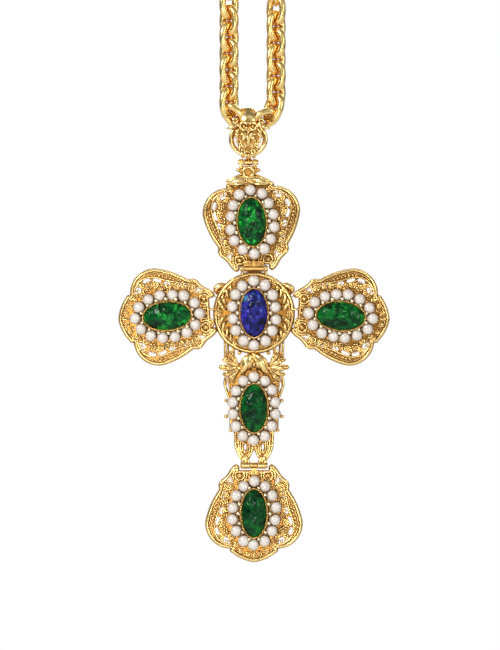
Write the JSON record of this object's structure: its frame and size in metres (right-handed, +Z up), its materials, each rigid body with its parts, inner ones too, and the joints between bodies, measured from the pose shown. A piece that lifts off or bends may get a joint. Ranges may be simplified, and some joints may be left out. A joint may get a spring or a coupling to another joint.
{
  "type": "pectoral cross pendant",
  "caption": "Hinged filigree cross pendant with pearl-ringed oval stones, hung by a ring bail from a looped cable chain with a fold-over clasp.",
  "frame": {"origin": "the hanging point: middle of the underside of the clasp bar that closes the chain's loop", "axes": "+Z up, the cross faces -Y, +X to the viewer's right"},
  "size_m": [0.078, 0.0125, 0.1718],
  "materials": {
    "filigree_gold": "gold-plated stamped brass, polished high spots, darker orange recesses",
    "bright_gold": "gold-plated beads and cups, bright polish",
    "chain_gold": "gold-plated cable chain, smooth polish",
    "pearl": "faux pearl, creamy lustre",
    "emerald_glass": "opaque-backed deep green glass, lighter swirls, glossy",
    "lapis_glass": "opaque-backed blue glass with light flecks, glossy"
  },
  "bodies": {
    "chain": {"clasp_bar": "filigree_gold", "clasp_pin": "filigree_gold", "jump_ring": "chain_gold", "catch_ring": "chain_gold", "chain_left": "chain_gold", "chain_cradle": "chain_gold", "chain_right": "chain_gold"},
    "clasp_lever": {"clasp_lever": "filigree_gold"},
    "bail": {"bail_ring": "filigree_gold", "bail_palmette": "filigree_gold", "bail_strap": "filigree_gold", "bail_knuckle": "filigree_gold"},
    "top_arm": {"neck_plaque": "filigree_gold", "neck_pin": "filigree_gold", "top_hinge_tab": "filigree_gold", "top_rivet": "filigree_gold", "top_filigree": "filigree_gold", "top_tray": "filigree_gold", "top_pearls": "pearl", "top_setting": "bright_gold", "top_stone": "emerald_glass"},
    "cross": {"medallion_filigree": "filigree_gold", "medallion_tray": "filigree_gold", "medallion_pearls": "pearl", "medallion_setting": "bright_gold", "medallion_stone": "lapis_glass", "left_filigree": "filigree_gold", "left_tray": "filigree_gold", "left_pearls": "pearl", "left_setting": "bright_gold", "left_stone": "emerald_glass", "right_filigree": "filigree_gold", "right_tray": "filigree_gold", "right_pearls": "pearl", "right_setting": "bright_gold", "right_stone": "emerald_glass", "shaft_filigree": "filigree_gold", "shaft_tray": "filigree_gold", "shaft_pearls": "pearl", "shaft_setting": "bright_gold", "shaft_stone": "emerald_glass", "centre_rivets": "filigree_gold", "shaft_rivet": "filigree_gold", "medallion_hinge_lugs": "filigree_gold", "upper_hinge_pin": "filigree_gold", "shaft_palmette_left": "filigree_gold", "shaft_palmette_right": "filigree_gold", "shaft_lily": "filigree_gold", "lower_hinge_ears": "filigree_gold", "lower_hinge_pin": "filigree_gold"},
    "bottom_arm": {"bottom_hinge_tab": "filigree_gold", "bottom_rivet": "filigree_gold", "bottom_filigree": "filigree_gold", "bottom_tray": "filigree_gold", "bottom_pearls": "pearl", "bottom_setting": "bright_gold", "bottom_stone": "emerald_glass"}
  },
  "joints": [
    {"name": "clasp_lever_hinge", "type": "hinge", "parent": "chain", "child": "clasp_lever", "pos_m": [-0.00975, 0, 0.0009], "axis": [0, -1, 0], "range_deg": [0, 100]},
    {"name": "bail_swing", "type": "hinge", "parent": "chain", "child": "bail", "pos_m": [-0.00165, 0, -0.0429], "axis": [1, 0, 0], "range_deg": [-45, 45]},
    {"name": "neck_hinge", "type": "hinge", "parent": "bail", "child": "top_arm", "pos_m": [-0.00165, 0, -0.0542], "axis": [1, 0, 0], "range_deg": [-45, 45]},
    {"name": "upper_hinge", "type": "hinge", "parent": "top_arm", "child": "cross", "pos_m": [0, 0, -0.085], "axis": [1, 0, 0], "range_deg": [-25, 25]},
    {"name": "lower_hinge", "type": "hinge", "parent": "cross", "child": "bottom_arm", "pos_m": [0, 0, -0.1421], "axis": [1, 0, 0], "range_deg": [-70, 35]}
  ]
}
